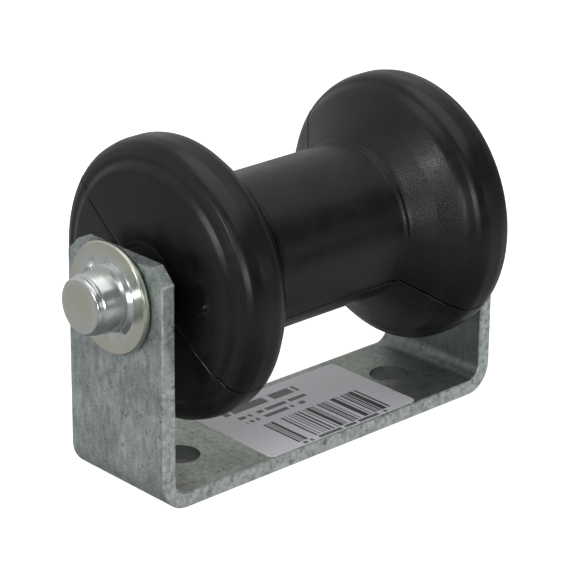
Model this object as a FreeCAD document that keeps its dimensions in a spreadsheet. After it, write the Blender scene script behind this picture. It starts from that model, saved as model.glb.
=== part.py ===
"""Bow roller: a black rubber spool turning on a steel shaft in a galvanised U bracket.

Frame: X runs along the roller's axis, Z is up, and the origin is the middle of the
bracket's underside. The ear on the -X side is the left one. Sizes are millimetres.
"""

import FreeCAD
import Part
import math
import os
import re

import Sketcher

SIZES = [
    # alias, millimetres (or degrees), what it is
    ("inner_width", 104.8, "clear distance between the two ears"),
    ("plate_thickness", 3.85, "galvanised plate"),
    ("bracket_width", 34.9, "strip width, along Y"),
    ("bend_inner_radius", 3.7, "inside of each bend"),
    ("ear_above_axis", 10.9, "shaft's axis to the top of an ear"),
    ("ear_corner_clip", 4.2, "each clipped corner at the top of an ear"),
    ("edge_break", 0.4, "rounding on the sheared edges"),
    ("bolt_hole_from_ear", 15.9, "ear's inner face to the middle of a base hole"),
    ("bolt_hole_diameter", 10.3, "clearance for a 3/8 inch bolt"),
    ("axis_height", 51.4, "underside of the base to the shaft's axis"),
    ("shaft_diameter", 12.7, "half inch bar"),
    ("shaft_end_chamfer", 0.8, "at both ends of the shaft"),
    ("shaft_stand_out", 8.2, "shaft end beyond the ear's outer face"),
    ("ear_hole_clearance", 0.08, "radial, shaft in the ear"),
    ("roller_end_gap", 1.6, "each end of the roller to the ear"),
    ("roller_bore_clearance", 0.1, "radial, roller on the shaft"),
    ("barrel_diameter", 40.6, "middle of the spool"),
    ("crest_diameter", 70.2, "corners of the rim's dome, before rounding"),
    ("root_from_end", 30.6, "hub's end back to where the barrel stops"),
    ("root_bead_rise", 0.55, "small moulded bead where barrel and flange meet"),
    ("root_bead_slope", 0.5, "each side of the bead, along the axis"),
    ("root_bead_length", 0.5, "top of the bead, along the axis"),
    ("cone_top_from_end", 20.2, "hub's end back to the top of the inner cone"),
    ("cone_top_drop", 2.9, "cone's top below the crest, radial"),
    ("valley_from_end", 19.5, "shallow valley above the cone"),
    ("valley_drop", 2.4, "valley below the crest, radial"),
    ("rim_foot_from_end", 18.4, "where the rim's dome starts"),
    ("rim_foot_drop", 1.2, "that place below the crest, radial"),
    ("inner_crest_from_end", 16.0, "inner corner of the dome"),
    ("inner_crest_drop", 0.0, "below the crest, radial"),
    ("outer_crest_from_end", 8.5, "outer corner of the dome"),
    ("outer_crest_drop", 0.3, "below the crest, radial"),
    ("rim_lip_from_end", 6.3, "where the dome meets the side face"),
    ("rim_lip_drop", 3.3, "lip below the crest, radial"),
    ("hollow_from_end", 6.15, "shallow hollow around the side face"),
    ("hollow_drop", 5.0, "hollow below the crest, radial"),
    ("ridge_from_end", 5.15, "rounded edge of the side face"),
    ("ridge_drop", 6.6, "that edge below the crest, radial"),
    ("hub_foot_from_end", 4.0, "where the hub rises from the side face"),
    ("hub_diameter", 18.4, "end of the hub"),
    ("hub_draft", 0.4, "hub wider at its foot, radial"),
    ("root_round", 0.2, "rounding of the moulded bead at the barrel's ends"),
    ("cone_top_round", 3.0, "rounding at the top of the inner cone"),
    ("valley_round", 2.5, "rounding in the valley"),
    ("rim_foot_round", 3.0, "rounding where the dome starts"),
    ("inner_crest_round", 6.0, "rounding of the dome's inner corner"),
    ("outer_crest_round", 4.0, "rounding of the dome's outer corner"),
    ("rim_lip_round", 2.0, "rounding of the lip"),
    ("hollow_round", 1.6, "rounding in the hollow"),
    ("ridge_round", 2.0, "rounding of the side face's edge"),
    ("hub_foot_round", 0.8, "rounding at the hub's foot"),
    ("hub_end_round", 0.8, "rounding at the hub's end"),
    ("cap_brim_diameter", 28.3, "brim of the push-on cap"),
    ("cap_brim_height", 2.2, "ear face to the top of the brim"),
    ("cap_sheet", 0.8, "steel sheet of the cap"),
    ("cap_ear_gap", 0.3, "cap brim to ear"),
    ("cap_shaft_gap", 0.5, "radial, cap body around the shaft"),
    ("cap_end_clearance", 1.5, "shaft end to the inside of the crown"),
    ("cap_shoulder_lift", 0.3, "shaft end to the cap's shoulder"),
    ("cap_crown_inset", 0.5, "crown smaller than the body, radial"),
    ("cap_bead_offset", 1.15, "cap body to the middle of the brim's raised bead, radial"),
    ("cap_bead_lift", 0.15, "middle of the bead's round section above the brim"),
    ("cap_bead_diameter", 1.8, "round section of the bead"),
    ("cap_bead_arc", 142.0, "degrees of each of the two bead arcs"),
    ("cap_crown_round", 0.55, "rounding of the crown's edge"),
    ("cap_brim_round", 0.6, "rounding of the brim's edge"),
    ("retainer_sheet", 0.45, "spring steel"),
    ("retainer_rim_gap", 0.4, "radial, retainer inside the cap's brim"),
    ("retainer_tooth_length", 2.25, "shaft surface to where the teeth start, radial"),
    ("retainer_tooth_rise", 0.75, "teeth lean outwards by this much"),
    ("retainer_root_gap", 0.1, "cap's inner edge clear of the teeth, radial"),
    ("retainer_slot_width", 1.6, "between the teeth"),
    ("retainer_grip_gap", 0.02, "radial, tooth tips around the shaft"),
    ("label_thickness", 0.15, "sticker"),
    ("label_corner_radius", 1.8, "rounded corners of the sticker"),
    ("label_left_gap", 10.4, "left base hole to the sticker"),
    ("label_right_gap", 1.5, "right base hole to the sticker"),
    ("label_front_inset", 0.6, "sticker back from the base's front edge"),
    ("label_back_inset", 2.6, "sticker forward of the base's back edge"),
]

SKETCH_START_RADIUS = 10.0
RETAINER_TEETH = 6
LEFT_CAP_TURN = 74.0
RIGHT_CAP_TURN = 20.0

# Corners of a flange's outline, from the barrel outwards; each one is rounded.
FLANGE_CORNERS = [
    "cone_top", "valley", "rim_foot", "inner_crest", "outer_crest", "rim_lip", "hollow", "ridge",
]

doc = FreeCAD.newDocument("bow_roller")


def make_sheet():
    """Spreadsheet of driving dimensions, one alias per size."""
    sheet = doc.addObject("Spreadsheet::Sheet", "sizes")
    for row, (alias, value, note) in enumerate(SIZES, start=1):
        sheet.set(f"A{row}", alias)
        sheet.set(f"B{row}", str(value))
        sheet.setAlias(f"B{row}", alias)
        sheet.set(f"C{row}", note)
    doc.recompute()
    return sheet


def sized(text):
    """Expression with every alias written as a reference to the sheet."""
    aliases = {alias for alias, _, _ in SIZES}
    return re.sub(
        r"[a-z_]+",
        lambda word: f"<<sizes>>.{word.group()}" if word.group() in aliases else word.group(),
        text,
    )


def origin_feature(body, role):
    """Plane or axis of the body's own origin, such as XZ_Plane."""
    return next(item for item in body.Origin.OriginFeatures if item.Role == role)


def new_body(label):
    """Body whose label names its part file."""
    body = doc.addObject("PartDesign::Body", label)
    body.Label = label
    return body


def new_sketch(body, name, role):
    """Sketch lying on one of the body's origin planes."""
    sketch = body.newObject("Sketcher::SketchObject", name)
    sketch.AttachmentSupport = [(origin_feature(body, role), "")]
    sketch.MapMode = "FlatFace"
    return sketch


def tie(sketch, axis, geometry, point, text):
    """Holds one coordinate of a point at the value of an expression."""
    if text == "0":
        line = -2 if axis == "DistanceX" else -1
        sketch.addConstraint(Sketcher.Constraint("PointOnObject", geometry, point, line))
        return
    index = sketch.addConstraint(Sketcher.Constraint(axis, -1, 1, geometry, point, 1.0 + geometry))
    name = f"{axis}_{geometry}"
    sketch.renameConstraint(index, name)
    sketch.setExpression(f".Constraints.{name}", sized(text))


def outline(body, name, role, corners):
    """Closed polygon with each corner at a pair of (across, up) expressions."""
    sketch = new_sketch(body, name, role)
    count = len(corners)
    turns = [2.0 * math.pi * index / count for index in range(count)]
    starts = [FreeCAD.Vector(math.cos(a), math.sin(a), 0) * SKETCH_START_RADIUS for a in turns]
    for index in range(count):
        sketch.addGeometry(Part.LineSegment(starts[index], starts[(index + 1) % count]), False)
    for index in range(count):
        following = (index + 1) % count
        sketch.addConstraint(Sketcher.Constraint("Coincident", index, 2, following, 1))
    for index, (across, up) in enumerate(corners):
        tie(sketch, "DistanceX", index, 1, across)
        tie(sketch, "DistanceY", index, 1, up)
    return sketch


def circles(body, name, role, centres, diameter):
    """Sketch of equal circles at (across, up) expressions."""
    sketch = new_sketch(body, name, role)
    for index, (across, up) in enumerate(centres):
        middle = FreeCAD.Vector(SKETCH_START_RADIUS * index, 0, 0)
        sketch.addGeometry(Part.Circle(middle, FreeCAD.Vector(0, 0, 1), 1.0), False)
        tie(sketch, "DistanceX", index, 3, across)
        tie(sketch, "DistanceY", index, 3, up)
        size = sketch.addConstraint(Sketcher.Constraint("Diameter", index, 2.0))
        sketch.renameConstraint(size, f"diameter_{index}")
        sketch.setExpression(f".Constraints.diameter_{index}", sized(diameter))
    return sketch


def feature(body, kind, name, profile=None, **settings):
    """PartDesign feature with its settings; text settings are expressions."""
    item = body.newObject(f"PartDesign::{kind}", name)
    if profile is not None:
        item.Profile = profile
        profile.Visibility = False
    for key, value in settings.items():
        if isinstance(value, str):
            item.setExpression(key, sized(value))
        else:
            setattr(item, key, value)
    return item


def edge_feature(body, kind, name, chooser, size):
    """Fillet or chamfer on the edges of the body's tip that the chooser accepts."""
    doc.recompute()
    tip = body.Tip
    found = [f"Edge{i}" for i, edge in enumerate(tip.Shape.Edges, start=1) if chooser(edge)]
    if not found:
        raise RuntimeError(f"{name} found no edges")
    item = body.newObject(f"PartDesign::{kind}", name)
    item.Base = (tip, found)
    prop = "Radius" if kind == "Fillet" else "Size"
    item.setExpression(prop, sized(size))
    return item


def value_of(alias):
    """Present value of one size, as a plain number."""
    return float(sheet.get(alias))


def at(edge, tolerance=1e-3, **places):
    """True where the edge's bounding box is flat and sits at each given place."""
    box = edge.BoundBox
    spans = {"x": (box.XMin, box.XMax), "y": (box.YMin, box.YMax), "z": (box.ZMin, box.ZMax)}
    return all(
        max(abs(spans[axis][0] - place), abs(spans[axis][1] - place)) < tolerance
        for axis, place in places.items()
    )


def is_ring(edge, radius, tolerance=0.02):
    """True for a full circle of the given radius around the X axis."""
    box = edge.BoundBox
    return abs(box.YMax - radius) < tolerance and box.XLength < tolerance and box.ZMax > 0


def make_bracket():
    """U bracket: bent strip, clipped ears, two base holes, one shaft hole per ear."""
    body = new_body("bracket")
    inside = "inner_width / 2"
    outside = "(inner_width / 2 + plate_thickness)"
    top = "axis_height + ear_above_axis"
    section = outline(body, "bracket_section", "XZ_Plane", [
        (f"-{outside}", "0"),
        (outside, "0"),
        (outside, top),
        (inside, top),
        (inside, "plate_thickness"),
        (f"-({inside})", "plate_thickness"),
        (f"-({inside})", top),
        (f"-{outside}", top),
    ])
    feature(body, "Pad", "bracket_strip", section, Length="bracket_width", Midplane=True)

    half_inside = value_of("inner_width") / 2
    half_outside = half_inside + value_of("plate_thickness")
    base_top = value_of("plate_thickness")
    ear_top = value_of("axis_height") + value_of("ear_above_axis")
    side = value_of("bracket_width") / 2

    edge_feature(body, "Fillet", "inner_bends",
                 lambda e: at(e, z=base_top) and abs(abs(e.CenterOfMass.x) - half_inside) < 1e-3,
                 "bend_inner_radius")
    edge_feature(body, "Fillet", "outer_bends",
                 lambda e: at(e, z=0.0) and abs(abs(e.CenterOfMass.x) - half_outside) < 1e-3,
                 "bend_inner_radius + plate_thickness")
    edge_feature(body, "Chamfer", "clipped_ear_corners",
                 lambda e: at(e, z=ear_top) and abs(abs(e.CenterOfMass.y) - side) < 1e-3,
                 "ear_corner_clip")
    edge_feature(body, "Fillet", "broken_edges",
                 lambda e: at(e, y=side) or at(e, y=-side),
                 "edge_break")

    base_holes = circles(body, "base_hole_sketch", "XY_Plane",
                         [("bolt_hole_from_ear - inner_width / 2", "0"),
                          ("inner_width / 2 - bolt_hole_from_ear", "0")],
                         "bolt_hole_diameter")
    feature(body, "Pocket", "base_holes", base_holes, Type=1, Midplane=True)
    ear_holes = circles(body, "ear_hole_sketch", "YZ_Plane", [("0", "axis_height")],
                        "shaft_diameter + 2 * ear_hole_clearance")
    feature(body, "Pocket", "ear_holes", ear_holes, Type=1, Midplane=True)
    return body


def roller_corners():
    """Half outline of the spool from its middle outwards, as (along, radius) pairs."""
    end = "(inner_width / 2 - roller_end_gap)"
    root = f"({end} - root_from_end)"
    barrel = "barrel_diameter / 2"
    bead = [
        (root, barrel),
        (f"{root} + root_bead_slope", f"{barrel} + root_bead_rise"),
        (f"{root} + root_bead_slope + root_bead_length", f"{barrel} + root_bead_rise"),
        (f"{root} + 2 * root_bead_slope + root_bead_length", barrel),
    ]
    flange = [
        (f"{end} - {name}_from_end", f"crest_diameter / 2 - {name}_drop")
        for name in FLANGE_CORNERS
    ]
    hub = [
        (f"{end} - hub_foot_from_end", "hub_diameter / 2 + hub_draft"),
        (end, "hub_diameter / 2"),
        (end, "shaft_diameter / 2 + roller_bore_clearance"),
    ]
    return bead + flange + hub


def make_roller():
    """Rubber spool: one turned outline, both flanges alike, with its edges rounded."""
    body = new_body("rubber_roller")
    half = roller_corners()
    left = [(f"-({along})", radius) for along, radius in reversed(half)]
    section = outline(body, "roller_section", "XZ_Plane", half + left)
    feature(body, "Revolution", "roller_spool", section,
            ReferenceAxis=(section, ["H_Axis"]), Angle=360.0)
    crest = value_of("crest_diameter") / 2
    rings = {"root": value_of("barrel_diameter") / 2 + value_of("root_bead_rise")}
    rings.update({name: crest - value_of(f"{name}_drop") for name in FLANGE_CORNERS})
    rings["hub_foot"] = value_of("hub_diameter") / 2 + value_of("hub_draft")
    rings["hub_end"] = value_of("hub_diameter") / 2
    for name, radius in rings.items():
        edge_feature(body, "Fillet", f"roller_{name}",
                     lambda e, ring=radius: is_ring(e, ring), f"{name}_round")
    body.setExpression(".Placement.Base.z", sized("axis_height"))
    return body


def make_shaft():
    """Plain bar with a chamfer at both ends, long enough to fill the caps."""
    body = new_body("roller_shaft")
    half = "(inner_width / 2 + plate_thickness + shaft_stand_out)"
    section = outline(body, "shaft_section", "XZ_Plane", [
        (f"-{half}", "0"),
        (half, "0"),
        (half, "shaft_diameter / 2 - shaft_end_chamfer"),
        (f"{half} - shaft_end_chamfer", "shaft_diameter / 2"),
        (f"-({half} - shaft_end_chamfer)", "shaft_diameter / 2"),
        (f"-{half}", "shaft_diameter / 2 - shaft_end_chamfer"),
    ])
    feature(body, "Revolution", "shaft_bar", section,
            ReferenceAxis=(section, ["H_Axis"]), Angle=360.0)
    body.setExpression(".Placement.Base.z", sized("axis_height"))
    return body


def seat_outside_ear(body, side, turn):
    """Puts a piece built up along its own Z on an ear's outer face, pointing outwards."""
    outwards = FreeCAD.Rotation(FreeCAD.Vector(0, 1, 0), 90.0 * side)
    spin = FreeCAD.Rotation(FreeCAD.Vector(1, 0, 0), turn)
    body.Placement = FreeCAD.Placement(FreeCAD.Vector(0, 0, 0), spin.multiply(outwards))
    body.setExpression(".Placement.Base.x", sized(f"{side} * (inner_width / 2 + plate_thickness)"))
    body.setExpression(".Placement.Base.z", sized("axis_height"))


CAP_CAVITY = "(shaft_diameter / 2 + cap_shaft_gap)"
CAP_BODY = f"({CAP_CAVITY} + cap_sheet)"
CAP_HEIGHT = "(shaft_stand_out + cap_end_clearance + cap_sheet)"
TOOTH_ROOT = "(shaft_diameter / 2 + retainer_tooth_length)"
BRIM_UNDERSIDE = "(cap_brim_height - cap_sheet)"


def make_cap(label, side, turn):
    """Pressed steel hat: brim with a turned-down rim, round body and a stepped crown."""
    body = new_body(label)
    crown = f"({CAP_BODY} - cap_crown_inset)"
    shoulder = "(shaft_stand_out + cap_shoulder_lift)"
    section = outline(body, f"{label}_section", "XZ_Plane", [
        ("0", CAP_HEIGHT),
        (crown, CAP_HEIGHT),
        (crown, f"{shoulder} + cap_crown_inset"),
        (CAP_BODY, shoulder),
        (CAP_BODY, "cap_brim_height"),
        ("cap_brim_diameter / 2", "cap_brim_height"),
        ("cap_brim_diameter / 2", "cap_ear_gap"),
        ("cap_brim_diameter / 2 - cap_sheet", "cap_ear_gap"),
        ("cap_brim_diameter / 2 - cap_sheet", BRIM_UNDERSIDE),
        (f"{TOOTH_ROOT} + retainer_root_gap", BRIM_UNDERSIDE),
        (CAP_CAVITY, "cap_brim_height"),
        (CAP_CAVITY, "shaft_stand_out"),
        (f"{CAP_CAVITY} - cap_crown_inset", "shaft_stand_out + cap_crown_inset"),
        (f"{CAP_CAVITY} - cap_crown_inset", f"{CAP_HEIGHT} - cap_sheet"),
        ("0", f"{CAP_HEIGHT} - cap_sheet"),
    ])
    feature(body, "Revolution", f"{label}_shell", section,
            ReferenceAxis=(section, ["V_Axis"]), Angle=360.0)

    body_radius = value_of("shaft_diameter") / 2 + value_of("cap_shaft_gap") + value_of("cap_sheet")
    crown_radius = body_radius - value_of("cap_crown_inset")
    height = value_of("shaft_stand_out") + value_of("cap_end_clearance") + value_of("cap_sheet")
    brim_radius = value_of("cap_brim_diameter") / 2
    brim_top = value_of("cap_brim_height")
    edge_feature(body, "Fillet", f"{label}_crown_edge",
                 lambda e: at(e, z=height) and abs(e.BoundBox.XMax - crown_radius) < 1e-3,
                 "cap_crown_round")
    edge_feature(body, "Fillet", f"{label}_brim_edge",
                 lambda e: at(e, z=brim_top) and abs(e.BoundBox.XMax - brim_radius) < 1e-3,
                 "cap_brim_round")

    bead = circles(body, f"{label}_bead_section", "XZ_Plane",
                   [(f"{CAP_BODY} + cap_bead_offset", "cap_brim_height + cap_bead_lift")],
                   "cap_bead_diameter")
    arc = feature(body, "Revolution", f"{label}_bead", bead,
                  ReferenceAxis=(bead, ["V_Axis"]), Angle="cap_bead_arc", Midplane=True)
    pair = body.newObject("PartDesign::PolarPattern", f"{label}_bead_pair")
    pair.Originals = [arc]
    pair.Axis = (origin_feature(body, "Z_Axis"), [""])
    pair.Angle = 360.0
    pair.Occurrences = 2
    body.Tip = pair
    seat_outside_ear(body, side, turn)
    return body


def make_retainer(label, side, turn):
    """Spring steel ring under the cap's brim, with teeth leaning out along the shaft."""
    body = new_body(label)
    tip = "(shaft_diameter / 2 + retainer_grip_gap)"
    rim = "(cap_brim_diameter / 2 - cap_sheet - retainer_rim_gap)"
    section = outline(body, f"{label}_section", "XZ_Plane", [
        (rim, f"{BRIM_UNDERSIDE} - retainer_sheet"),
        (rim, BRIM_UNDERSIDE),
        (TOOTH_ROOT, BRIM_UNDERSIDE),
        (tip, f"{BRIM_UNDERSIDE} + retainer_tooth_rise"),
        (tip, f"{BRIM_UNDERSIDE} + retainer_tooth_rise - retainer_sheet"),
        (TOOTH_ROOT, f"{BRIM_UNDERSIDE} - retainer_sheet"),
    ])
    feature(body, "Revolution", f"{label}_ring", section,
            ReferenceAxis=(section, ["V_Axis"]), Angle=360.0)
    slot = outline(body, f"{label}_slot_section", "XY_Plane", [
        ("0", "-retainer_slot_width / 2"),
        (TOOTH_ROOT, "-retainer_slot_width / 2"),
        (TOOTH_ROOT, "retainer_slot_width / 2"),
        ("0", "retainer_slot_width / 2"),
    ])
    cut = feature(body, "Pocket", f"{label}_slot", slot, Type=1, Midplane=True)
    teeth = body.newObject("PartDesign::PolarPattern", f"{label}_teeth")
    teeth.Originals = [cut]
    teeth.Axis = (origin_feature(body, "Z_Axis"), [""])
    teeth.Angle = 360.0
    teeth.Occurrences = RETAINER_TEETH
    body.Tip = teeth
    seat_outside_ear(body, side, turn)
    return body


def make_label():
    """Sticker on the base, between the two bolt holes."""
    body = new_body("price_label")
    hole_edge = "(inner_width / 2 - bolt_hole_from_ear - bolt_hole_diameter / 2)"
    left = f"(label_left_gap - {hole_edge})"
    right = f"({hole_edge} - label_right_gap)"
    front = "(label_front_inset - bracket_width / 2)"
    back = "(bracket_width / 2 - label_back_inset)"
    section = outline(body, "label_outline", "XY_Plane", [
        (left, front),
        (right, front),
        (right, back),
        (left, back),
    ])
    feature(body, "Pad", "label_sheet", section, Length="label_thickness")
    edge_feature(body, "Fillet", "label_corners",
                 lambda e: e.BoundBox.ZLength > e.BoundBox.XLength + e.BoundBox.YLength,
                 "label_corner_radius")
    body.setExpression(".Placement.Base.z", sized("plate_thickness"))
    return body


def check(bodies):
    """Stops if any object failed or any piece is empty, broken or in several lumps."""
    for item in doc.Objects:
        if "Invalid" in item.State or "Error" in item.State:
            raise RuntimeError(f"{item.Name} did not compute: {item.State}")
    for body in bodies:
        shape = body.Shape
        if shape.isNull() or not shape.isValid() or len(shape.Solids) != 1:
            raise RuntimeError(f"{body.Label} is not one sound solid")
        print(f"{body.Label}: {shape.Volume:.1f} mm3, box {shape.BoundBox}")


sheet = make_sheet()
pieces = [
    make_bracket(),
    make_roller(),
    make_shaft(),
    make_cap("left_axle_cap", -1, LEFT_CAP_TURN),
    make_cap("right_axle_cap", 1, RIGHT_CAP_TURN),
    make_retainer("left_spring_retainer", -1, LEFT_CAP_TURN),
    make_retainer("right_spring_retainer", 1, RIGHT_CAP_TURN),
    make_label(),
]
doc.recompute()
check(pieces)
os.makedirs("parts", exist_ok=True)
for piece in pieces:
    piece.Shape.exportStep(f"parts/{piece.Label}.step")
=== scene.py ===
import math

import bmesh
import bpy
import numpy as np
from mathutils import Matrix, Vector


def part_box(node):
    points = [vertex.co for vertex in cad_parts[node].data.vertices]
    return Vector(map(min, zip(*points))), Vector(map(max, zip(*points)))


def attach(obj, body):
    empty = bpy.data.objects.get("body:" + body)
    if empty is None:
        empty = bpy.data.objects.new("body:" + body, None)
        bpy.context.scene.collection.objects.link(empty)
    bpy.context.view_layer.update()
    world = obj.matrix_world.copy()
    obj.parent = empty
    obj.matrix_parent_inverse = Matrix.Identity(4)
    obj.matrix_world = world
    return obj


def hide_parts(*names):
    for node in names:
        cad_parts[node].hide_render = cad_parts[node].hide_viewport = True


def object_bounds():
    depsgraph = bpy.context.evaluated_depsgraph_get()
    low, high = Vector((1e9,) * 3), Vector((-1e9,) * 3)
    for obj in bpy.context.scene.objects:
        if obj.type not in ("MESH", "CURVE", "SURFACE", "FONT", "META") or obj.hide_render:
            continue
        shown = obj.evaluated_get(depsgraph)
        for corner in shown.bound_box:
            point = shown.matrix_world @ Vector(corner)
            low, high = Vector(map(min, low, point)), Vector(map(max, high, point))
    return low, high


# Bow roller: looks of a galvanised U bracket, a moulded rubber spool on a steel shaft,
# two pressed caps and a paper sticker. X runs along the roller's axis, -Y is the front,
# Z is up. Shapes are worked out in millimetres and stored in metres.
# An angle around the axis is 0 towards the front and a quarter turn at the top, in degrees.

MM = 0.001

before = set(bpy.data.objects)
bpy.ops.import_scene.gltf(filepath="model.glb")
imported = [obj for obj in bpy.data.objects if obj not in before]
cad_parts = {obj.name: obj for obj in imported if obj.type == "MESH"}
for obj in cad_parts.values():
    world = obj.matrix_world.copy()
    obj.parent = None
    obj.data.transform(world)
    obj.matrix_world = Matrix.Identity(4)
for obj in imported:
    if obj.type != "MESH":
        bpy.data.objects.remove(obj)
cad_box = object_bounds()

bracket_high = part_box("bracket")[1]
shaft_low, shaft_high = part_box("roller_shaft")
label_low, label_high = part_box("price_label")

AXIS_Z = (shaft_low.z + shaft_high.z) / 2 / MM
EAR_FACE = bracket_high.x / MM
STRIP_EDGE = bracket_high.y / MM
HUB_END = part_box("rubber_roller")[1].x / MM

TURN_STEP = 2.0


# ---------------------------------------------------------------- shapes

def rounded_outline(corners, arc_points):
    """Points of a polyline whose corners are arcs; corners are (along, up, rounding) rows.

    A corner with an inner angle a and rounding q starts and ends its arc q / tan(a / 2)
    away from the corner; the arc's points turn evenly around the circle's middle.
    """
    points = [np.array(corners[0][:2])]
    for before, corner, after in zip(corners, corners[1:], corners[2:]):
        rounding = corner[2]
        place = np.array(corner[:2])
        back = np.array(before[:2]) - place
        ahead = np.array(after[:2]) - place
        back /= np.linalg.norm(back)
        ahead /= np.linalg.norm(ahead)
        half = math.acos(float(np.dot(back, ahead))) / 2
        bisector = (back + ahead) / np.linalg.norm(back + ahead)
        middle = place + bisector * rounding / math.sin(half)
        start = place + back * rounding / math.tan(half) - middle
        stop = place + ahead * rounding / math.tan(half) - middle
        sweep = math.pi - 2 * half
        share = np.linspace(0, 1, arc_points)[:, None]
        from_start = np.sin((1 - share) * sweep) / math.sin(sweep)
        from_stop = np.sin(share * sweep) / math.sin(sweep)
        points.extend(middle + from_start * start + from_stop * stop)
    points.append(np.array(corners[-1][:2]))
    return np.array(points)


def filled_in(points, spacing):
    """The same polyline with extra points so that no run is longer than spacing."""
    pieces = []
    for start, stop in zip(points, points[1:]):
        count = max(1, math.ceil(np.linalg.norm(stop - start) / spacing))
        pieces.append(start + (stop - start) * np.arange(count)[:, None] / count)
    return np.vstack(pieces + [points[-1:]])


def outward(points):
    """Unit normals of a polyline: its direction turned a quarter turn to the left."""
    along = np.gradient(points, axis=0)
    normal = np.column_stack([-along[:, 1], along[:, 0]])
    return normal / np.linalg.norm(normal, axis=1)[:, None]


def bell(distance, width):
    """Smooth bump: 1 at distance 0, fading over width."""
    return np.exp(-(distance / width) ** 2)


def angle_between(angle, middle):
    """Signed difference of two angles in degrees, from -180 to 180."""
    return (angle - middle + 180) % 360 - 180


def close_up(mesh, gap=0.002 * MM, sharp=math.radians(32)):
    """Merges doubled points, turns all faces outwards and keeps only real corners sharp."""
    work = bmesh.new()
    work.from_mesh(mesh)
    bmesh.ops.remove_doubles(work, verts=work.verts, dist=gap)
    bmesh.ops.dissolve_degenerate(work, edges=work.edges, dist=gap / 10)
    bmesh.ops.recalc_face_normals(work, faces=work.faces)
    work.to_mesh(mesh)
    work.free()
    mesh.polygons.foreach_set("use_smooth", np.ones(len(mesh.polygons), bool))
    mesh.set_sharp_from_angle(angle=sharp)
    mesh.update()


def grid_piece(name, places, closed_rows, body, replaced, material):
    """Mesh over a grid of places in mm, rows by columns; the columns join up in a ring."""
    rows, columns = places.shape[:2]
    row = np.arange(rows if closed_rows else rows - 1)
    r, c = np.meshgrid(row, np.arange(columns), indexing="ij")
    r_next, c_next = (r + 1) % rows, (c + 1) % columns
    faces = np.stack([
        r * columns + c, r * columns + c_next, r_next * columns + c_next, r_next * columns + c,
    ], axis=-1).reshape(-1, 4)
    mesh = bpy.data.meshes.new(name)
    mesh.from_pydata((places.reshape(-1, 3) * MM).tolist(), [], faces.tolist())
    piece = bpy.data.objects.new(name, mesh)
    bpy.context.scene.collection.objects.link(piece)
    close_up(mesh)
    mesh.materials.append(material)
    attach(piece, body)
    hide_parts(replaced)
    return piece


# Half outline of the spool in mm: back from the hub's end, radius, rounding.
BORE_RADIUS = 6.45
SPOOL_OUTLINE = [
    (0.0, BORE_RADIUS, 0.5),
    (0.0, 9.2, 0.8),
    (4.0, 9.6, 0.8),
    (5.15, 28.4, 2.5),
    (6.35, 30.0, 1.4),
    (6.35, 31.5, 1.4),
    (7.0, 33.1, 0.6),
    (8.3, 34.5, 3.0),
    (11.0, 35.1, 6.0),
    (15.5, 35.1, 5.0),
    (17.4, 34.4, 3.0),
    (18.4, 33.3, 2.5),
    (20.25, 31.85, 7.0),
    (24.4, 26.2, 12.0),
    (29.15, 20.3, 0.3),
    (29.6, 20.95, 0.25),
    (30.1, 20.95, 0.3),
    (30.75, 20.3, 0.3),
]
SPOOL_ARC_POINTS = 5
SPOOL_SPACING = 1.2
SIDE_FACE_BACK = 5.5

# Moulded waves: height in mm, and how slowly each turns with the angle and along the axis.
MOULD_WAVES = ((0.035, 17, 7), (0.025, 9, -11))

# Mould seams: angle, and how much of each is left on the side faces.
SEAMS = ((145.2, 1.0), (-34.8, 0.25))
SEAM_FINE_REACH = 1.5
SEAM_FINE_STEP = 0.12
GROOVE_DEPTH, GROOVE_WIDTH = 0.8, 0.27
LIP_HEIGHT, LIP_AWAY, LIP_WIDTH = 0.05, 0.6, 0.4

# Torn flash on the side faces.
TORN_RADIUS, TORN_HEIGHT, TORN_WIDTH = 20.2, 0.75, 0.7
TORN_ANGLE, TORN_SPREAD = 5, 17


def spool_angles():
    """Angles in even steps, and in fine steps close to each mould seam."""
    coarse = np.arange(0, 360, TURN_STEP)
    fine = np.arange(-SEAM_FINE_REACH, SEAM_FINE_REACH, SEAM_FINE_STEP)
    apart = [np.abs(angle_between(coarse, seam)) > TURN_STEP for seam, _ in SEAMS]
    coarse = coarse[np.all(apart, axis=0)]
    return np.sort(np.concatenate([coarse] + [fine + seam % 360 for seam, _ in SEAMS]))


def spool_relief(along, radius, angle):
    """How far the moulded surface stands off the turned outline, in mm.

    The whole surface waves by a few hundredths, a sum of sines of the angle and the place
    along the axis, as moulded rubber does. At each mould seam a narrow groove of uneven
    depth runs beside a low lip. On each side face a short torn flash faces the front: a
    bell across a ring that wanders, times a product of sines of the angle.
    """
    relief = sum(height * np.sin(angle / turn + along / run) for height, turn, run in MOULD_WAVES)
    on_face = HUB_END - np.abs(along) < SIDE_FACE_BACK
    for seam, left_on_face in SEAMS:
        off = np.radians(angle_between(angle, seam)) * radius
        uneven = 1 + 0.3 * np.sin(along * 1.9) * np.sin(radius * 1.3)
        left = np.where(on_face, left_on_face, 1.0)
        groove = GROOVE_DEPTH * uneven * bell(off, GROOVE_WIDTH)
        lip = LIP_HEIGHT * bell(off - LIP_AWAY, LIP_WIDTH)
        relief = relief + left * (lip - groove)
    torn = np.sin(angle / 1.7) * np.sin(angle / 2.9 + 1) + 0.4 * np.sin(angle / 0.8)
    at_front = bell(angle_between(angle, TORN_ANGLE), TORN_SPREAD) * on_face
    across = bell(radius - TORN_RADIUS - 0.5 * torn, TORN_WIDTH)
    return relief + TORN_HEIGHT * across * at_front * np.abs(torn)


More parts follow.
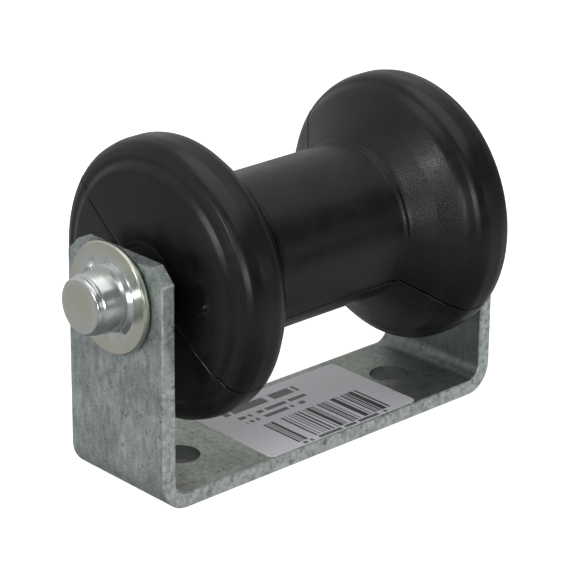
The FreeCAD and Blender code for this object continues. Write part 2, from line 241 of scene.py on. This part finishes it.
def make_spool(material):
    """Rubber spool: outline turned around the axis, with its moulded relief.

    place(s, a) = outline(s) + normal(s) * relief(s, a), turned by angle a around X.
    """
    half = [(HUB_END - back, radius, rounding) for back, radius, rounding in SPOOL_OUTLINE]
    left = [(-along, radius, rounding) for along, radius, rounding in half]
    in_bore = [(0.0, BORE_RADIUS, 0)]
    corners = in_bore + left + list(reversed(half)) + in_bore
    section = filled_in(rounded_outline(corners, SPOOL_ARC_POINTS), SPOOL_SPACING)[:-1]
    normal = outward(section)
    angle = spool_angles()[None, :]
    along, radius = section[:, :1], section[:, 1:]
    relief = np.where(radius < BORE_RADIUS + 0.15, 0, spool_relief(along, radius, angle))
    out = radius + normal[:, 1:] * relief
    places = np.stack([
        along + normal[:, :1] * relief,
        -out * np.cos(np.radians(angle)),
        AXIS_Z + out * np.sin(np.radians(angle)),
    ], axis=-1)
    grid_piece("moulded_spool", places, True, "roller", "rubber_roller", material)


# Cap in mm: radius, height off the ear, rounding; from the crown's middle to the inside.
CAP_OUTLINE = [
    (0.0, 10.42, 0),
    (4.9, 10.42, 2.0),
    (5.6, 10.5, 1.5),
    (7.15, 10.5, 0.75),
    (7.05, 8.85, 0.35),
    (7.5, 8.35, 0.45),
    (8.0, 2.2, 0.5),
    (13.95, 2.2, 0.45),
    (13.95, 1.0, 0.4),
    (13.45, 0.3, 0.1),
    (13.2, 0.3, 0.1),
    (13.2, 1.4, 0.2),
    (8.7, 1.4, 0.2),
    (6.85, 2.2, 0.2),
    (6.85, 8.2, 0.3),
    (6.35, 8.7, 0.2),
    (6.35, 9.7, 0.4),
    (0.0, 9.7, 0),
]
CAP_ARC_POINTS = 6
CAP_SPACING = 0.45
BRIM_RADII = (7.75, 13.2)
BRIM_HEIGHTS = (1.2, 3.0)
BEAD_RADIUS, BEAD_HALF_WIDTH, BEAD_HEIGHT = 8.85, 0.95, 0.95
BEAD_HALF_ANGLE, BEAD_FADE = 71.0, 12
DENT_RADIUS, DENT_WIDTH, DENT_DEPTH = 9.4, 0.9, 0.35
DENT_PAST_BEAD = 2


def cap_relief(radius, height, angle):
    """Pressed relief of the brim, in mm outwards.

    Two beads, each an arc of raised cosine section, fade out smoothly at their ends. A
    small dent lies past each end, and the brim between the beads stays flat.
    """
    across = np.clip((radius - BEAD_RADIUS) / BEAD_HALF_WIDTH, -1, 1)
    section = np.cos(across * math.pi / 2) ** 2
    relief = np.zeros(np.broadcast(radius, angle).shape)
    for middle in (0, 180):
        off = np.abs(angle_between(angle, middle))
        fade = np.clip((BEAD_HALF_ANGLE - off) / BEAD_FADE, 0, 1)
        relief += section * fade * fade * (3 - 2 * fade) * BEAD_HEIGHT
        for end in (-1, 1):
            dent_angle = middle + end * (BEAD_HALF_ANGLE + DENT_PAST_BEAD)
            round_brim = np.radians(angle_between(angle, dent_angle)) * radius
            dent = bell(round_brim, DENT_WIDTH) * bell(radius - DENT_RADIUS, DENT_WIDTH)
            relief -= DENT_DEPTH * dent
    on_brim = (radius > BRIM_RADII[0]) & (radius < BRIM_RADII[1])
    return relief * on_brim * (height > BRIM_HEIGHTS[0]) * (height < BRIM_HEIGHTS[1])


def make_cap(name, side, bead_middle, replaced, material):
    """Pressed cap: outline turned around the axis, its brim raised by the relief.

    height(s, a) = outline height(s) + relief(radius(s), a); the inside follows the outside.
    """
    section = filled_in(rounded_outline(CAP_OUTLINE, CAP_ARC_POINTS), CAP_SPACING)
    angle = np.arange(0, 360, TURN_STEP)[None, :]
    radius, height = section[:, :1], section[:, 1:]
    raised = height + cap_relief(radius, height, angle - bead_middle)
    places = np.stack([
        side * (EAR_FACE + raised),
        -radius * np.cos(np.radians(angle)),
        AXIS_Z + radius * np.sin(np.radians(angle)),
    ], axis=-1)
    grid_piece(name, places, False, "axle", replaced, material)


# Sticker in mm: its round corners, its stripes, and rows of dashes, each row with its front,
# back, start, stop and the share of it that is printed. The extra lines only carry the wave.
STICKER_ROUND = 1.8
STICKER_EDGE = 0.02
STICKER_WAVE = 0.02
STRIPE_WIDTH = 0.33
STRIPES_START, STRIPES_STOP = -10.4, 22.4
STRIPES_FRONT, STRIPES_BACK = -14.9, -1.6
DASH_ROWS = [
    (-16.6, -15.4, -9.5, 21.5, 0.62),
    (1.2, 2.7, -12.5, 8.5, 0.7),
    (4.2, 5.7, -12.5, 12.5, 0.7),
    (8.0, 11.2, -14.5, 12.0, 0.8),
]
DASH_STRIPES = 3
DASH_INK = 0.85
EXTRA_LINES = [-11.0, -6.0, 13.0]


def sticker_print(x, y):
    """1 where the sticker is printed: stripes of seeded random widths, and plain dashes."""
    rng = np.random.default_rng(12)
    ink = np.zeros((len(x), len(y)))
    stripe = rng.random(len(x)) < 0.5
    along = (x > STRIPES_START) & (x < STRIPES_STOP)
    ink[np.ix_(along & stripe, (y > STRIPES_FRONT) & (y < STRIPES_BACK))] = 1
    for front, back, start, stop, share in DASH_ROWS:
        dash = np.repeat(rng.random(len(x)) < share, DASH_STRIPES)[:len(x)]
        along = (x > start) & (x < stop)
        ink[np.ix_(along & dash, (y > front) & (y < back))] = DASH_INK
    return ink


def sticker_lines(front, back):
    """Distances across the base at which a row of the sticker's faces starts or stops."""
    edges = [front + STICKER_EDGE, back - STICKER_EDGE, STRIPES_FRONT, STRIPES_BACK]
    edges += [edge for row in DASH_ROWS for edge in row[:2]]
    return np.array([front] + sorted(edges + EXTRA_LINES) + [back])


def make_sticker(material):
    """Paper sticker: a sheet with rounded corners, following the base with a faint wave.

    place(x, v) = x, front(x) + v * (back(x) - front(x)), top + wave(x, v); near both ends
    front and back draw in along quarter circles. Its print is an attribute of the faces.
    """
    left, right = label_low.x / MM, label_high.x / MM
    front, back = label_low.y / MM, label_high.y / MM
    base, top = label_low.z / MM, label_high.z / MM
    x = np.append(np.arange(left, right, STRIPE_WIDTH), right)
    y = sticker_lines(front, back)
    from_end = np.minimum(x - left, right - x)
    draw_in = np.clip(STICKER_ROUND - from_end, 0, STICKER_ROUND)
    inset = STICKER_ROUND - np.sqrt(STICKER_ROUND ** 2 - draw_in ** 2)
    share = (y - front) / (back - front)
    across = front + inset[:, None] + share[None, :] * (back - front - 2 * inset[:, None])
    along = np.repeat(x[:, None], len(y), axis=1)
    wave = STICKER_WAVE * (1 + np.sin(along / 3.1) * np.sin(across / 2.3))
    upper = np.stack([along, across, top + wave], axis=-1)
    lower = np.stack([along, across, np.full_like(along, base)], axis=-1)
    ring = np.concatenate([upper, lower[:, ::-1]], axis=1)
    closed = [np.broadcast_to(end.mean(0), end.shape)[None] for end in (ring[0], ring[-1])]
    places = np.concatenate([closed[0], ring, closed[1]])
    sticker = grid_piece("paper_sticker", places, False, "bracket",
                         "price_label", material)

    mesh = sticker.data
    middles = np.zeros(len(mesh.polygons) * 3)
    mesh.polygons.foreach_get("center", middles)
    middles = middles.reshape(-1, 3) / MM
    ink = sticker_print((x[:-1] + x[1:]) / 2, (y[:-1] + y[1:]) / 2)
    column = np.clip(np.searchsorted(x, middles[:, 0]) - 1, 0, len(x) - 2)
    row = np.clip(np.searchsorted(y, middles[:, 1]) - 1, 0, len(y) - 2)
    on_top = middles[:, 2] > (base + top) / 2
    attribute = mesh.attributes.new("ink", "FLOAT", "FACE")
    attribute.data.foreach_set("value", ink[column, row] * on_top)


# ---------------------------------------------------------------- finishes

def colour(code):
    """Linear RGBA of an sRGB hex code."""
    parts = [int(code[i:i + 2], 16) / 255 for i in (1, 3, 5)]
    linear = [p / 12.92 if p <= 0.04045 else ((p + 0.055) / 1.055) ** 2.4 for p in parts]
    return (*linear, 1.0)


def connect(tree, node, values):
    """Fills a node's inputs, by name or in their order, and links those that are nodes."""
    for name, value in values.items() if isinstance(values, dict) else enumerate(values):
        if isinstance(value, bpy.types.Node):
            value = value.outputs[0]
        if isinstance(value, bpy.types.NodeSocket):
            tree.links.new(value, node.inputs[name])
        else:
            node.inputs[name].default_value = value


def add(tree, kind, values=(), **settings):
    """Adds a node with its settings and fills its inputs."""
    node = tree.nodes.new("ShaderNode" + kind)
    for name, value in settings.items():
        setattr(node, name, value)
    connect(tree, node, values)
    return node


def new_finish(name):
    """Empty material with its tree, object coordinates and shader."""
    material = bpy.data.materials.new(name)
    material.use_nodes = True
    tree = material.node_tree
    tree.nodes.clear()
    shader = add(tree, "BsdfPrincipled")
    add(tree, "OutputMaterial", {"Surface": shader})
    return material, tree, add(tree, "TexCoord").outputs["Object"], shader


def per_mm(size):
    """Texture scale at which one cell is size millimetres."""
    return 1 / (size * MM)


def off_axis(tree, coords):
    """Distance from the shaft's axis, in metres."""
    parts = add(tree, "SeparateXYZ", [coords])
    up = add(tree, "Math", [parts.outputs["Z"], AXIS_Z * MM], operation="SUBTRACT")
    flat = add(tree, "CombineXYZ", [parts.outputs["Y"], up])
    return add(tree, "VectorMath", [flat], operation="LENGTH").outputs["Value"]


# Where each look of the zinc starts and is full, in mm: in from the strip's edge, out from
# the bracket's middle, and off the middle of a bolt hole.
SHEARED_EDGE = (0.7, 0.25)
WARM_BASE = (51.5, 50.5)
BETWEEN_EARS = (53.5, 53.0)
# Painted shade: between these two places along X the zinc is painted darker towards the right
# end.
RIGHT_END_SHADE = (15, 50)
BOLT_HOLE_X = 36.5
BOLT_HOLE_SHADE = (5.3, 5.15)


def galvanised_steel():
    """Hot-dip galvanised mild steel: dull grey zinc in clouds, with dross pits and grit.

    The eye sees a soft metallic grey, cloudy over 14 mm and 3 mm, streaked where the zinc
    ran off, with ragged dark specks. Zinc lies thicker and paler on the sheared edges. The
    base has dried a little warmer. Its right end is painted darker as shade, and the bolt
    holes are painted dark inside as shade.
    """
    material, tree, coords, shader = new_finish("hot_dip_galvanised_steel")
    parts = add(tree, "SeparateXYZ", [coords])
    along = add(tree, "Math", [parts.outputs["X"]], operation="ABSOLUTE")
    across = add(tree, "Math", [parts.outputs["Y"]], operation="ABSOLUTE")
    run_off = add(tree, "Mapping", {"Vector": coords, "Scale": (1.0, 1.0, 0.3)})
    broad = add(tree, "TexNoise", {"Vector": coords, "Scale": per_mm(14), "Detail": 3.0})
    cloud = add(tree, "TexNoise", {"Vector": coords, "Scale": per_mm(3.2), "Detail": 5.0,
                                   "Roughness": 0.65, "Distortion": 0.6})
    streak = add(tree, "TexNoise", {"Vector": run_off, "Scale": per_mm(1.6), "Detail": 2.0})
    grit = add(tree, "TexNoise", {"Vector": coords, "Scale": per_mm(0.6), "Detail": 3.0})
    clouded = add(tree, "Math", [cloud, broad], operation="SUBTRACT")
    gritty = add(tree, "Math", [streak, grit], operation="ADD")
    mottle = add(tree, "Math", [clouded, gritty], operation="ADD")
    pale = add(tree, "MapRange", [mottle, 0.65, 1.45])
    zinc = add(tree, "MixRGB", [pale, colour("#939d9c"), colour("#ced6d4")])

    reach = [(STRIP_EDGE - inward) * MM for inward in SHEARED_EDGE]
    sheared = add(tree, "MapRange", [across, *reach])
    rolled = add(tree, "Math", [1.0, sheared], operation="SUBTRACT")
    reach = [out * MM for out in WARM_BASE]
    on_base = add(tree, "Math", [rolled, add(tree, "MapRange", [along, *reach])],
                  operation="MULTIPLY")
    warm = add(tree, "MixRGB", [on_base, colour("#ffffff"), colour("#fffaf0")])
    zinc = add(tree, "MixRGB", [1.0, zinc, warm], blend_type="MULTIPLY")
    lumps = add(tree, "TexNoise", {"Vector": coords, "Scale": per_mm(1.3), "Detail": 4.0})
    crusted = add(tree, "Math", [sheared, add(tree, "MapRange", [lumps, 0.30, 0.65])],
                  operation="MULTIPLY")
    zinc = add(tree, "MixRGB", [crusted, zinc, colour("#e6edeb")])

    # Painted shade: between the ears the zinc is painted darker towards the right end.
    reach = [out * MM for out in BETWEEN_EARS]
    inside = add(tree, "Math", [rolled, add(tree, "MapRange", [along, *reach])],
                 operation="MULTIPLY")
    reach = [out * MM for out in RIGHT_END_SHADE]
    right_end_shade_share = add(tree, "MapRange", [parts.outputs["X"], *reach, 0.0, 0.6])
    painted_shade_right = add(tree, "Math", [right_end_shade_share, inside], operation="MULTIPLY")
    zinc = add(tree, "MixRGB", [painted_shade_right, zinc, colour("#5a605f")])

    ragged = add(tree, "TexNoise", {"Vector": coords, "Scale": per_mm(2.1), "Detail": 4.0,
                                    "Roughness": 0.7})
    ragged = add(tree, "MapRange", [ragged, 0.61, 0.66, 0.0, 0.6])
    pits = add(tree, "TexVoronoi", {"Vector": coords, "Scale": per_mm(3.6)})
    few = add(tree, "MapRange", [pits.outputs["Color"], 0.70, 0.78])
    pitted = add(tree, "MapRange", [pits.outputs["Distance"], 0.16, 0.06])
    pitted = add(tree, "Math", [few, pitted], operation="MULTIPLY")
    speck = add(tree, "Math", [pitted, ragged], operation="MAXIMUM")
    zinc = add(tree, "MixRGB", [speck, zinc, colour("#555c5b")])

    # Painted shade: inside each bolt hole the zinc is painted dark grey.
    from_hole = add(tree, "Math", [along, BOLT_HOLE_X * MM], operation="SUBTRACT")
    from_hole = add(tree, "CombineXYZ", [from_hole, across])
    from_hole = add(tree, "VectorMath", [from_hole], operation="LENGTH").outputs["Value"]
    reach = [out * MM for out in BOLT_HOLE_SHADE]
    zinc = add(tree, "MixRGB", [add(tree, "MapRange", [from_hole, *reach]), zinc,
                                colour("#6c7270")])

    rough = add(tree, "MapRange", [cloud, 0.3, 0.7, 0.34, 0.56])
    height = add(tree, "Math", [grit, cloud], operation="ADD")
    height = add(tree, "Math", [height, speck], operation="SUBTRACT")
    raised = add(tree, "Math", [crusted, 0.3], operation="MULTIPLY")
    height = add(tree, "Math", [height, raised], operation="ADD")
    bump = add(tree, "Bump", {"Height": height, "Strength": 0.6, "Distance": 0.06 * MM})
    connect(tree, shader, {"Base Color": zinc, "Roughness": rough, "Normal": bump,
                           "Metallic": 0.85})
    return material


# Where each look of the rubber starts and is full, in mm: off the axis, and off the middle
# of a cone, along the axis.
ROUGH_SHADED_HUB = (12.0, 10.2)
CONE_MIDDLE = 26.0
COARSE_CONE = (5.5, 4.0)


def black_rubber():
    """Carbon-filled natural rubber, moulded: deep black, satin, slightly uneven.

    The eye sees crisp highlights broken by fine grain, coarser on the inner cones, and by
    dry, paler smears. The hub is left rough from the mould and takes no highlight, and it is
    painted near black as shade in the gap by the ear.
    """
    material, tree, coords, shader = new_finish("moulded_black_rubber")
    smear = add(tree, "TexNoise", {"Vector": coords, "Scale": per_mm(9), "Detail": 5.0,
                                   "Distortion": 0.8})
    grain = add(tree, "TexNoise", {"Vector": coords, "Scale": per_mm(0.5), "Detail": 3.0})
    uneven = add(tree, "TexNoise", {"Vector": coords, "Scale": per_mm(4.5), "Detail": 2.0})
    speckle = add(tree, "TexNoise", {"Vector": coords, "Scale": per_mm(0.9), "Detail": 3.0})
    speckle = add(tree, "MapRange", [speckle, 0.5, 0.75, 0.5, 1.5])
    smeared = add(tree, "MapRange", [smear, 0.45, 0.75])
    dusty = add(tree, "Math", [smeared, speckle], operation="MULTIPLY")
    base = add(tree, "MixRGB", [dusty, colour("#0d0d0e"), colour("#1c1c1e")])
    # Painted shade: near the axis the rubber is painted near black, and it is rougher.
    reach = [out * MM for out in ROUGH_SHADED_HUB]
    hub = add(tree, "MapRange", [off_axis(tree, coords), *reach])
    base = add(tree, "MixRGB", [hub, base, colour("#060606")])
    rough = add(tree, "MapRange", [smear, 0.3, 0.7, 0.26, 0.40])
    rough = add(tree, "Math", [rough, hub], operation="MAXIMUM")

    along = add(tree, "SeparateXYZ", [coords]).outputs["X"]
    along = add(tree, "Math", [along], operation="ABSOLUTE")
    off_cone = add(tree, "Math", [along, CONE_MIDDLE * MM], operation="SUBTRACT")
    off_cone = add(tree, "Math", [off_cone], operation="ABSOLUTE")
    reach = [out * MM for out in COARSE_CONE]
    coarse = add(tree, "MapRange", [off_cone, *reach, 0.6, 2.1])
    height = add(tree, "Math", [grain, coarse], operation="MULTIPLY")
    wavy = add(tree, "Math", [uneven, 0.5], operation="MULTIPLY")
    height = add(tree, "Math", [height, wavy], operation="ADD")
    bump = add(tree, "Bump", {"Height": height, "Strength": 0.35, "Distance": 0.06 * MM})
    connect(tree, shader, {"Base Color": base, "Roughness": rough, "Normal": bump, "IOR": 1.47})
    return material


DRAWN_RADIUS = 8.0
FLAT_FROM_DRAWN = (1.0, 4.5)


def zinc_passivated_steel():
    """Pressed steel, zinc plated and passivated: bright, with a faint yellow cast in patches.

    The eye sees the yellow on the flat end and brim; the drawn body stays blue-white.
    """
    material, tree, coords, shader = new_finish("yellow_passivated_zinc")
    fine = add(tree, "TexNoise", {"Vector": coords, "Scale": per_mm(1.2), "Detail": 3.0})
    off_drawn = add(tree, "Math", [off_axis(tree, coords), DRAWN_RADIUS * MM],
                    operation="SUBTRACT")
    off_drawn = add(tree, "Math", [off_drawn], operation="ABSOLUTE")
    reach = [out * MM for out in FLAT_FROM_DRAWN]
    flat = add(tree, "MapRange", [off_drawn, *reach])
    patch = add(tree, "TexNoise", {"Vector": coords, "Scale": per_mm(9), "Detail": 2.0})
    patch = add(tree, "MapRange", [patch, 0.3, 0.7, 0.35, 1.35])
    tint = add(tree, "Math", [flat, patch], operation="MULTIPLY")
    base = add(tree, "MixRGB", [tint, colour("#dfe4e3"), colour("#d8d9c8")])
    rough = add(tree, "MapRange", [fine, 0.3, 0.7, 0.2, 0.27])
    bump = add(tree, "Bump", {"Height": fine, "Strength": 0.05, "Distance": 0.02 * MM})
    connect(tree, shader, {"Base Color": base, "Roughness": rough, "Normal": bump,
                           "Metallic": 1.0})
    return material


def drawn_steel(name, light, dark, roughness):
    """Drawn or rolled steel: fine lines along X, drawn 0.3 mm wide so that they show."""
    material, tree, coords, shader = new_finish(name)
    stretched = add(tree, "Mapping", {"Vector": coords, "Scale": (0.05, 1.0, 1.0)})
    lines = add(tree, "TexNoise", {"Vector": stretched, "Scale": per_mm(0.3), "Detail": 2.0})
    base = add(tree, "MixRGB", [lines, colour(dark), colour(light)])
    bump = add(tree, "Bump", {"Height": lines, "Strength": 0.2, "Distance": 0.03 * MM})
    connect(tree, shader, {"Base Color": base, "Normal": bump, "Metallic": 1.0,
                           "Roughness": roughness})
    return material


def sticker_paper():
    """Semi-gloss label paper with black thermal print: pale cool grey, faint fibre."""
    material, tree, coords, shader = new_finish("semi_gloss_label_paper")
    fibre = add(tree, "TexNoise", {"Vector": coords, "Scale": per_mm(0.5), "Detail": 3.0})
    paper = add(tree, "MixRGB", [fibre, colour("#e2e3e8"), colour("#eeeff3")])
    ink = add(tree, "Attribute", attribute_name="ink").outputs["Fac"]
    printed = add(tree, "MixRGB", [ink, paper, colour("#3a3a3e")])
    bump = add(tree, "Bump", {"Height": fibre, "Strength": 0.1, "Distance": 0.03 * MM})
    connect(tree, shader, {"Base Color": printed, "Normal": bump, "Roughness": 0.45,
                           "IOR": 1.5})
    return material


def repaint(node, material):
    """Gives every face of a CAD node one material."""
    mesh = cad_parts[node].data
    mesh.materials.clear()
    mesh.materials.append(material)


# ---------------------------------------------------------------- pieces

LEFT_BEAD_ANGLE = 16.0
RIGHT_BEAD_ANGLE = 70.0

cap_finish = zinc_passivated_steel()
make_spool(black_rubber())
make_cap("pressed_cap_left", -1, LEFT_BEAD_ANGLE, "left_axle_cap", cap_finish)
make_cap("pressed_cap_right", 1, RIGHT_BEAD_ANGLE, "right_axle_cap", cap_finish)
make_sticker(sticker_paper())
repaint("bracket", galvanised_steel())
repaint("roller_shaft", drawn_steel("zinc_plated_drawn_bar", "#b9bcbd", "#989b9c", 0.3))
spring_finish = drawn_steel("phosphated_spring_steel", "#5c5c60", "#3c3c40", 0.45)
repaint("left_spring_retainer", spring_finish)
repaint("right_spring_retainer", spring_finish)


# ---------------------------------------------------------------- studio

# Camera: angles in degrees, distances in mm.
CAMERA_TURN = -43.07
CAMERA_RISE = 21.62
CAMERA_ROLL = 0.59
CAMERA_DISTANCE = 648.8
CAMERA_AIM = Vector((0.0, 0.0, 44.9))
CAMERA_LENS = 162.25
CAMERA_SHIFT = (-0.0024, -0.0427)

# Light of the room, behind and in front, and of the table, left and right.
ROOM_LEVEL, SWEEP_LEVEL = 0.15, 0.56
TABLE_LEFT, TABLE_RIGHT = 0.38, 0.55
UNDERNEATH_SHARE = 0.3

# Floor: half its side in metres, its own glow, the glow of the painted shadow patch, and how
# far that patch lies inside the bracket's ends and sides, in mm.
FLOOR_HALF = 6.0
FLOOR_GLOW = 0.75
SHADOW_PATCH_GLOW = 0.05
SHADOW_PATCH_FROM_END = (14, 9)
SHADOW_PATCH_FROM_SIDE = (9, 4)

# Lights: turn and rise in degrees; distance, width and height in metres; watts; mirrored.
LIGHT_AIM = Vector((0, 0, 0.045))
LIGHTS = {
    "front_light": (-47, 6, 1.3, 0.3, 0.26, 2.0, True),
    "left_light": (-82, 21, 1.3, 0.3, 0.3, 3.3, True),
    "right_light": (31, 10, 1.2, 0.25, 0.3, 0.25, True),
    "top_light": (20, 80, 1.2, 1.5, 1.5, 6.5, True),
    "fill_light": (-50, 28, 1.3, 0.8, 0.6, 5.6, False),
}


def view_axes(turn, rise):
    """Right, up and back directions of a level camera looking at the origin, in degrees."""
    a, e = math.radians(turn), math.radians(rise)
    back = Vector((math.sin(a) * math.cos(e), -math.cos(a) * math.cos(e), math.sin(e)))
    right = Vector((math.cos(a), math.sin(a), 0))
    return right, back.cross(right), back


def place_at(name, data, place, axes):
    """New object at a place in metres, turned so that its X, Y and Z lie along the axes."""
    thing = bpy.data.objects.new(name, data)
    bpy.context.scene.collection.objects.link(thing)
    thing.matrix_world = Matrix.Translation(place) @ Matrix(axes).transposed().to_4x4()
    return thing


def make_camera():
    """Long lens at the viewing angle, with a very small roll and shift."""
    right, up, back = view_axes(CAMERA_TURN, CAMERA_RISE)
    roll = math.radians(CAMERA_ROLL)
    across = math.cos(roll) * right + math.sin(roll) * up
    upright = math.cos(roll) * up - math.sin(roll) * right
    data = bpy.data.cameras.new("studio_camera")
    data.sensor_width = 36
    data.lens = CAMERA_LENS
    data.shift_x, data.shift_y = CAMERA_SHIFT
    data.clip_start = 0.01
    data.clip_end = 50
    place = (CAMERA_AIM + CAMERA_DISTANCE * back) * MM
    bpy.context.scene.camera = place_at("studio_camera", data, place, (across, upright, back))


def soft_box(name, turn, rise, distance, width, height, watts, mirrored):
    """Rectangular light facing the object."""
    axes = view_axes(turn, rise)
    data = bpy.data.lights.new(name, "AREA")
    data.shape = "RECTANGLE"
    data.size = width
    data.size_y = height
    data.energy = watts
    light = place_at(name, data, LIGHT_AIM + distance * axes[2], axes)
    light.visible_glossy = mirrored


def make_floor():
    """Plain pale floor, lit a little from within so that it stays near white.

    A patch under the bracket is painted darker and hardly glows: a painted shadow.
    """
    material, tree, coords, shader = new_finish("pale_paper_sweep")
    cloud = add(tree, "TexNoise", {"Vector": coords, "Scale": 0.8, "Detail": 1.0})
    paper = add(tree, "MixRGB", [cloud, colour("#f7f7f7"), colour("#fbfbfb")])
    parts = add(tree, "SeparateXYZ", [coords])
    along = add(tree, "Math", [parts.outputs["X"]], operation="ABSOLUTE")
    across = add(tree, "Math", [parts.outputs["Y"]], operation="ABSOLUTE")
    # Painted shadow: under the bracket the floor is painted grey and glows less.
    reach = [(EAR_FACE - inward) * MM for inward in SHADOW_PATCH_FROM_END]
    past_end = add(tree, "MapRange", [along, *reach])
    reach = [(STRIP_EDGE - inward) * MM for inward in SHADOW_PATCH_FROM_SIDE]
    past_side = add(tree, "MapRange", [across, *reach])
    clear = add(tree, "Math", [past_end, past_side], operation="MAXIMUM")
    shaded = add(tree, "MixRGB", [clear, colour("#6a6a6a"), paper])
    glow = add(tree, "MapRange", [clear, 0.0, 1.0, SHADOW_PATCH_GLOW, FLOOR_GLOW])
    connect(tree, shader, {"Base Color": shaded, "Roughness": 0.9,
                           "Emission Color": colour("#ffffff"), "Emission Strength": glow})
    mesh = bpy.data.meshes.new("floor")
    level = cad_box[0][2]
    corners = [(-1, -1), (1, -1), (1, 1), (-1, 1)]
    mesh.from_pydata([(x * FLOOR_HALF, y * FLOOR_HALF, level) for x, y in corners],
                     [], [(0, 1, 2, 3)])
    mesh.materials.append(material)
    floor = bpy.data.objects.new("floor", mesh)
    bpy.context.scene.collection.objects.link(floor)
    floor.visible_glossy = False
    floor.visible_diffuse = False


def make_surroundings():
    """Soft grey studio: a pale sweep behind and below, shaded underneath, dim in front."""
    world = bpy.data.worlds.new("studio")
    bpy.context.scene.world = world
    world.use_nodes = True
    tree = world.node_tree
    tree.nodes.clear()
    coords = add(tree, "TexCoord").outputs["Generated"]
    x, y, z = add(tree, "SeparateXYZ", [coords]).outputs
    behind = add(tree, "MapRange", [y, -0.45, 0.5, ROOM_LEVEL, SWEEP_LEVEL],
                 interpolation_type="SMOOTHSTEP")
    horizon = add(tree, "MapRange", [z, -0.3, 0.0])
    room = add(tree, "Math", [behind, horizon], operation="MULTIPLY")
    table = add(tree, "MapRange", [x, -0.8, 0.8, TABLE_LEFT, TABLE_RIGHT])
    below = add(tree, "MapRange", [z, 0.05, -0.3, 0.0, table], interpolation_type="SMOOTHSTEP")
    level = add(tree, "Math", [room, below], operation="MAXIMUM")
    shade = add(tree, "MapRange", [z, -0.85, -0.45, UNDERNEATH_SHARE, 1.0])
    level = add(tree, "Math", [level, shade], operation="MULTIPLY")
    glow = add(tree, "Background", {"Color": colour("#ffffff"), "Strength": level})
    add(tree, "OutputWorld", {"Surface": glow})


make_camera()
make_floor()
make_surroundings()
for name, facts in LIGHTS.items():
    soft_box(name, *facts)
bpy.context.scene.view_settings.view_transform = "Standard"
